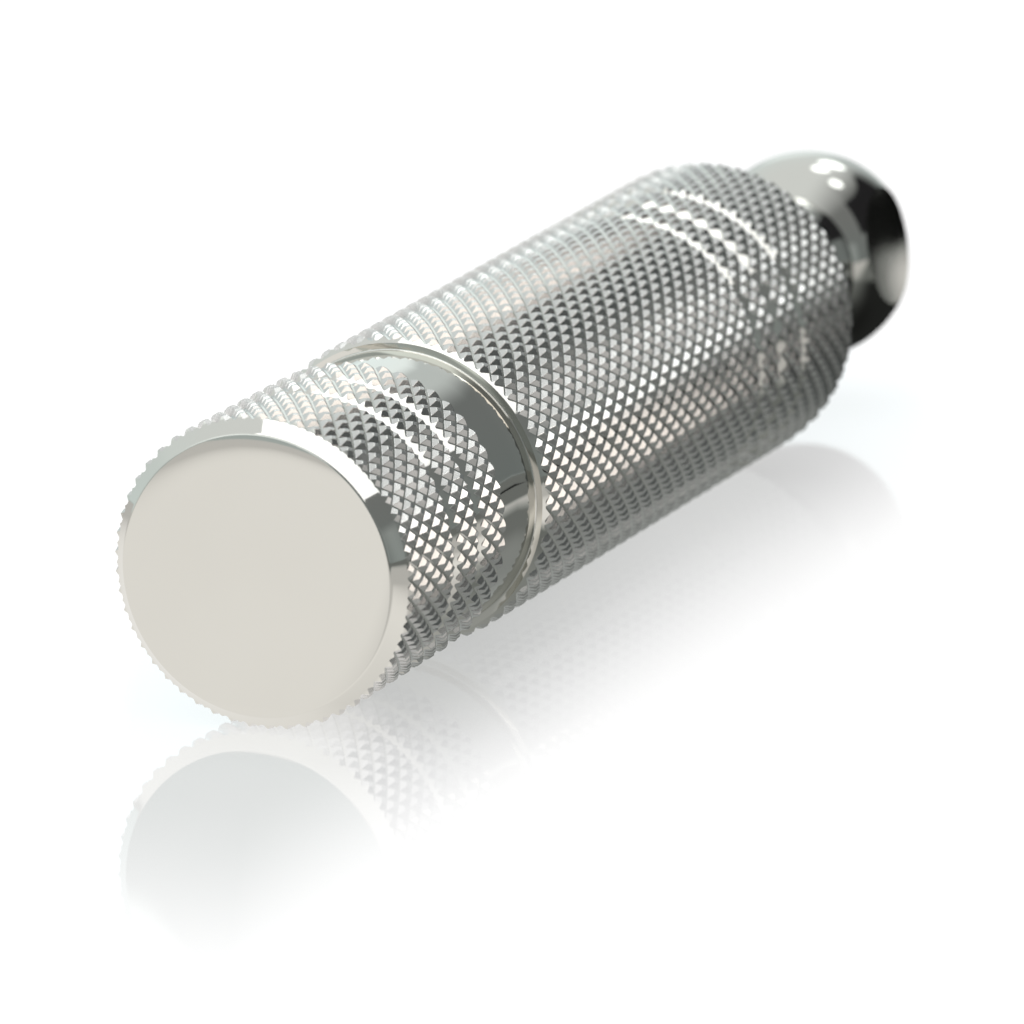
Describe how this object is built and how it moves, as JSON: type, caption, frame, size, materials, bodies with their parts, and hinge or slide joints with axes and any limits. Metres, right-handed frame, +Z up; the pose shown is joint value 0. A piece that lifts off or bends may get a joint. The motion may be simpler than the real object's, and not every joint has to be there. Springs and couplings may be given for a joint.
{
  "type": "foot peg",
  "caption": "Folding motorcycle foot peg: ball-ended tongue on a cross pivot, knurled barrel with a polished neck, and a screw-on knurled end cap.",
  "frame": {"origin": "middle of the peg's length, on its own axis; the fold pivot's centre is 60.7 mm inboard of it", "axes": "+X outboard along the peg, +Z up; the pivot's axis lies in the plane across the peg, 10.5 degrees from +Y towards +Z"},
  "size_m": [0.1408, 0.0274, 0.0274],
  "materials": {
    "polished_steel": "mirror polished, bright nickel tone",
    "knurled_steel": "diamond knurled, then polished",
    "bolt_steel": "plain machined steel",
    "spring_steel": "spring steel",
    "zinc_steel": "zinc plated, ground",
    "black_rubber": "matt nitrile rubber"
  },
  "bodies": {
    "pivot": {"pivot_sleeve": "zinc_steel"},
    "peg": {"tongue": "polished_steel", "detent_ball": "bolt_steel", "detent_spring": "spring_steel", "detent_plug": "bolt_steel", "index_pin_1": "bolt_steel", "index_pin_2": "bolt_steel", "index_pin_3": "bolt_steel", "rear_oring": "black_rubber", "barrel_sleeve": "knurled_steel", "core_bolt": "bolt_steel", "bolt_washer": "zinc_steel", "lock_washer": "spring_steel"},
    "cap_seal": {"cap_oring": "black_rubber"},
    "cap": {"end_cap": "knurled_steel"}
  },
  "joints": [
    {"name": "fold", "type": "hinge", "parent": "pivot", "child": "peg", "pos_m": [-0.0607, 0, 0], "axis": [0, -0.9833, -0.1822], "range_deg": [0, 90]},
    {"name": "cap_turn", "type": "hinge", "parent": "peg", "child": "cap_seal", "pos_m": [0.0511, 0, 0], "axis": [1, 0, 0], "range_deg": [0, 1800]},
    {"name": "cap_travel", "type": "slide", "parent": "cap_seal", "child": "cap", "axis": [1, 0, 0], "range_m": [0, 0.0075]}
  ],
  "couplings": [
    {"joint": "cap_turn", "follows": "cap_travel", "rad_per_m": 4188.8}
  ]
}
